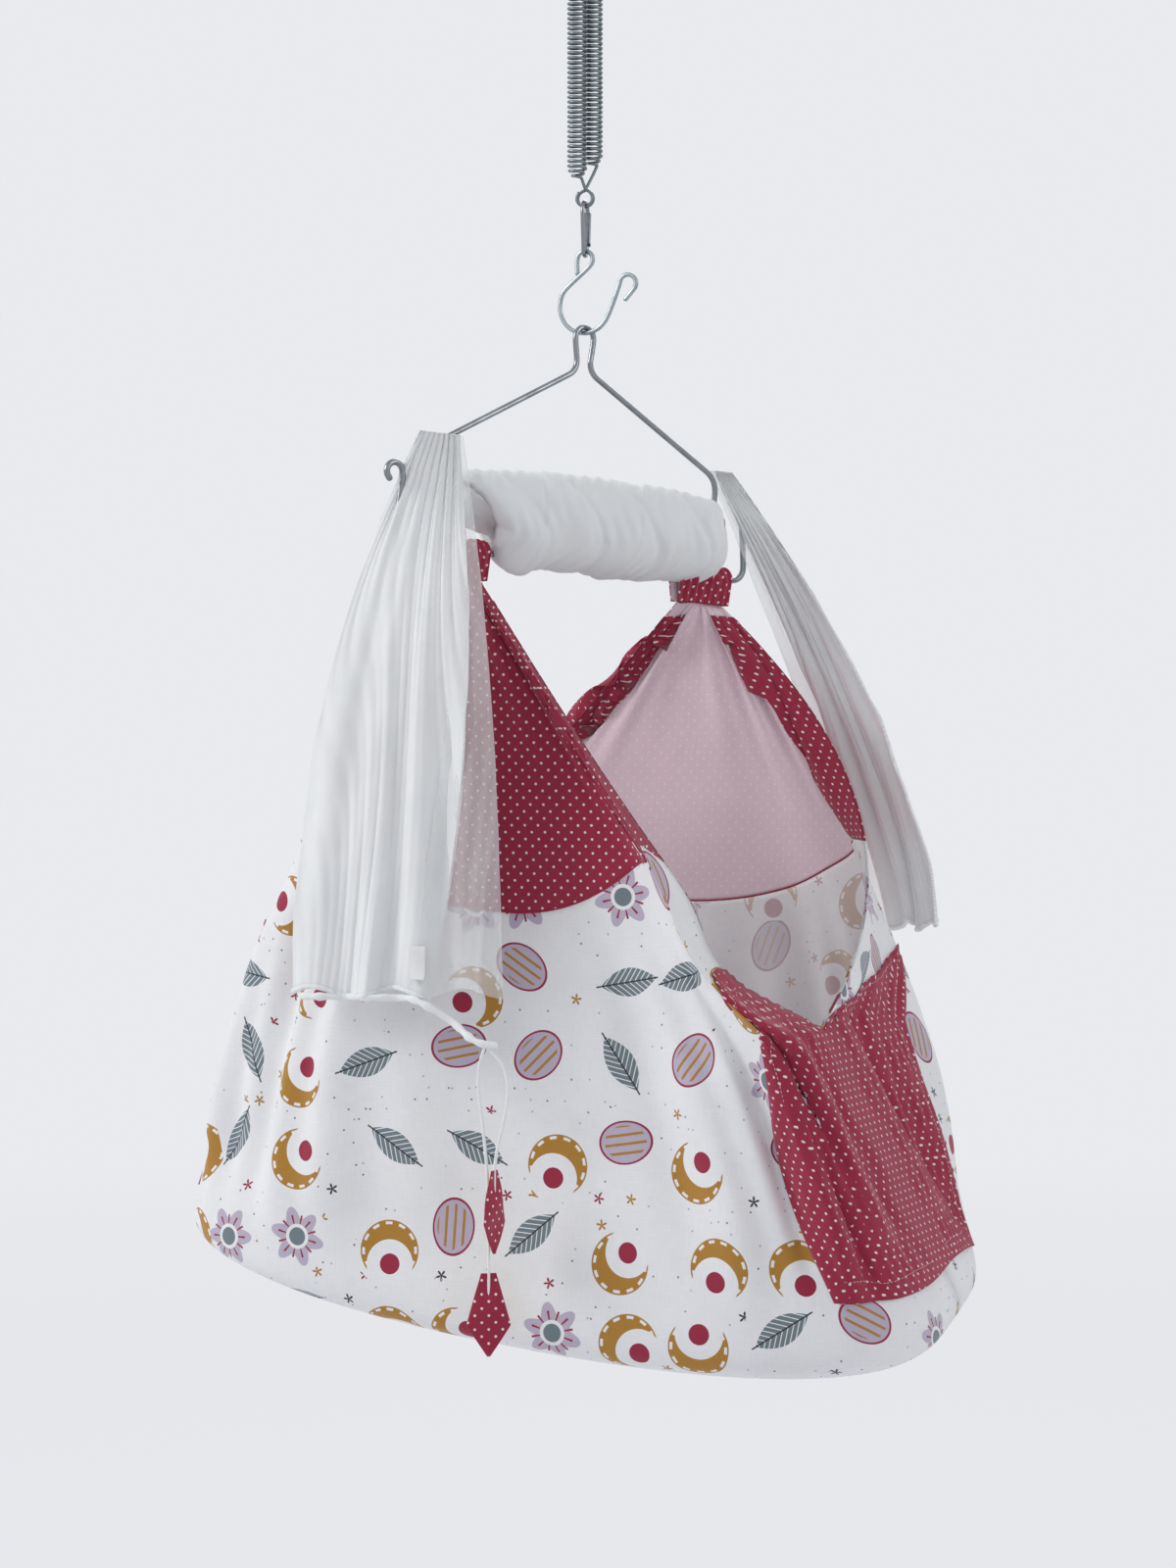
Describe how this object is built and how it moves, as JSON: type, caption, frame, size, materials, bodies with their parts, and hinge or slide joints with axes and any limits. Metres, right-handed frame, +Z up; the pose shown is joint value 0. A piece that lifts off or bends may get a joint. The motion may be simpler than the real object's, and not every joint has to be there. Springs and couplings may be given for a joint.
{
  "type": "hanging baby cradle",
  "caption": "Hanging baby cradle: a cotton sling with open ends on a wire hanger and spreader rod, a rolled mosquito net, a hook, a snap hook and extension springs.",
  "frame": {"origin": "top of the upper ring's bore, where the ring rests on what holds it", "axes": "+Z up; X along the sling's length; -Y is the near side with the drawcords"},
  "size_m": [0.7313, 0.4779, 1.3341],
  "materials": {
    "zinc_wire": "bright zinc plating on drawn wire",
    "chrome_wire": "polished nickel-chrome on bent wire",
    "crimson_dots": "woven cotton, crimson with small white pin dots",
    "printed_cotton": null,
    "net_mesh": "fine white polyester mosquito net in folded layers",
    "white_tape": "white braided cotton cord and plain tape"
  },
  "bodies": {
    "suspension": {"upper_ring": "zinc_wire", "spring_near": "zinc_wire", "spring_far": "zinc_wire"},
    "snap": {"snap_hook_body": "chrome_wire", "snap_hook_rivet": "chrome_wire"},
    "gate": {"snap_hook_gate": "chrome_wire"},
    "hook": {"open_hook": "zinc_wire"},
    "cradle": {"hanger": "chrome_wire", "spreader_rod": "chrome_wire", "rod_sleeve_near": "crimson_dots", "rod_sleeve_far": "crimson_dots", "sling_floor": "printed_cotton", "side_panel_near": "printed_cotton", "side_panel_far": "printed_cotton", "yoke_near": "crimson_dots", "yoke_far": "crimson_dots", "end_patch_right": "crimson_dots", "end_patch_left": "crimson_dots", "mattress_pad": "printed_cotton", "net_roll": "net_mesh", "net_drape_near": "net_mesh", "net_drape_far": "net_mesh", "net_hem": "net_mesh", "drawcord_long": "white_tape", "drawcord_short": "white_tape", "cord_tab_long": "crimson_dots", "cord_tab_short": "crimson_dots", "care_label": "white_tape"}
  },
  "joints": [
    {"name": "bounce", "type": "slide", "parent": "suspension", "child": "snap", "axis": [0, 0, -1], "range_m": [-0.03, 0.08], "stiffness_N_per_m": 600, "springref_m": -0.0525, "deforming": ["spring_near", "spring_far"]},
    {"name": "gate_open", "type": "hinge", "parent": "snap", "child": "gate", "pos_m": [-0.00029, 0.00549, -0.29923], "axis": [0.9986, 0.0523, 0], "range_deg": [0, 20], "stiffness_Nm_per_rad": 0.02, "springref_deg": -17.19},
    {"name": "hook_swing", "type": "hinge", "parent": "snap", "child": "hook", "pos_m": [0, 0, -0.30568], "axis": [0.9925, -0.1219, 0], "range_deg": [-12, 12]},
    {"name": "hanger_swing", "type": "hinge", "parent": "hook", "child": "cradle", "pos_m": [0, 0, -0.37738], "axis": [0.5736, 0.8192, 0], "range_deg": [-15, 15]}
  ]
}
